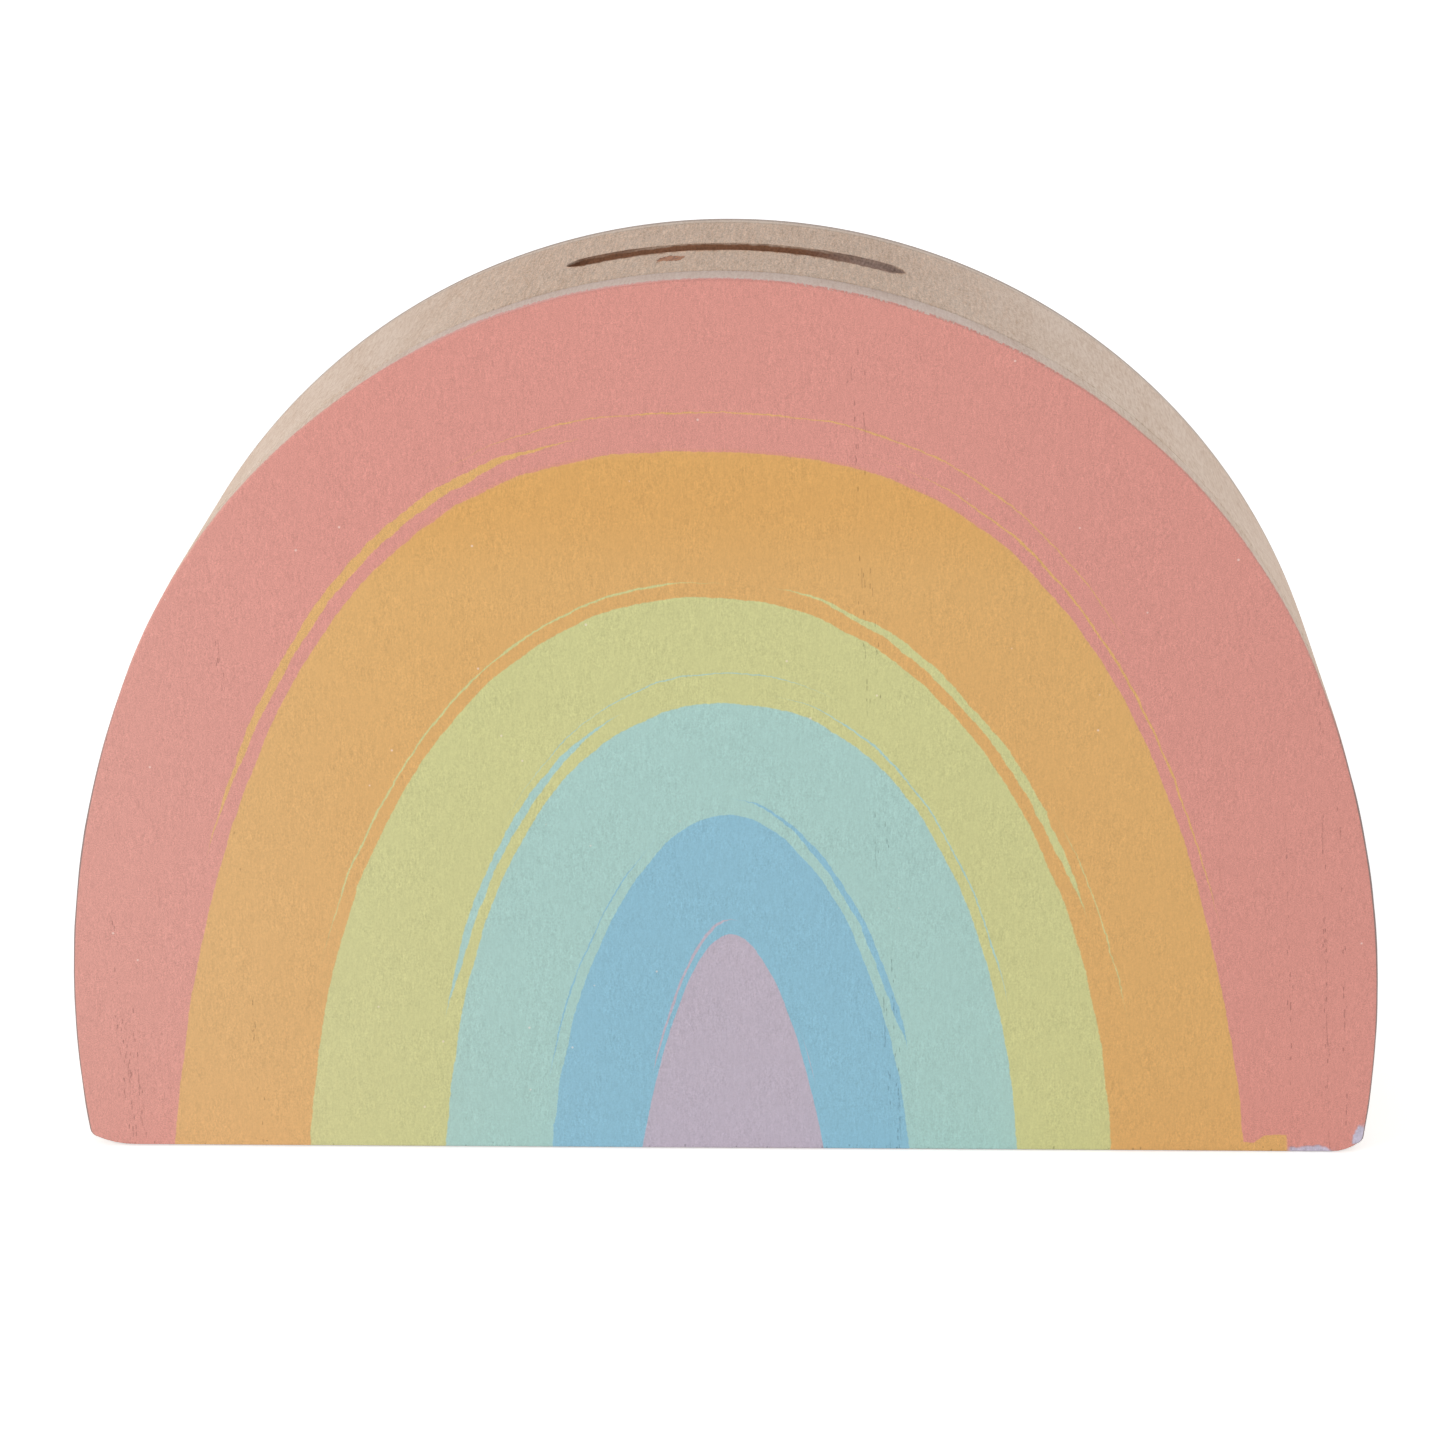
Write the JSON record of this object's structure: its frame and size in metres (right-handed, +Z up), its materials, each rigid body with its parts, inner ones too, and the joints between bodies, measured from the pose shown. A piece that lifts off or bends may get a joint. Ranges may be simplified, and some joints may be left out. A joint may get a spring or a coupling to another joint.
{
  "type": "wooden money box",
  "caption": "Free-standing arched wooden money box with rainbow bands on its front, a coin slot through the crown of its bare rim and a pull-out stopper in its back.",
  "frame": {"origin": "on the ground, under the middle of the box", "axes": "+X to the right as seen from the front, +Y to the rear, +Z up"},
  "size_m": [0.15, 0.041, 0.1023],
  "materials": {
    "painted_front": "matt painted bands on wood",
    "bare_wood": "bare sawn and sanded wood",
    "rear_board": "bare sanded wood",
    "pin_steel": "bright drawn wire",
    "stopper_rubber": "matt moulded rubber"
  },
  "bodies": {
    "box": {"front_panel": "painted_front", "arch_rim": "bare_wood", "base_plank": "bare_wood", "rear_panel": "rear_board", "panel_pins": "pin_steel"},
    "stopper": {"stopper": "stopper_rubber"}
  },
  "joints": [
    {"name": "stopper_pull", "type": "slide", "parent": "box", "child": "stopper", "axis": [0, 1, 0], "range_m": [0, 0.03]}
  ]
}
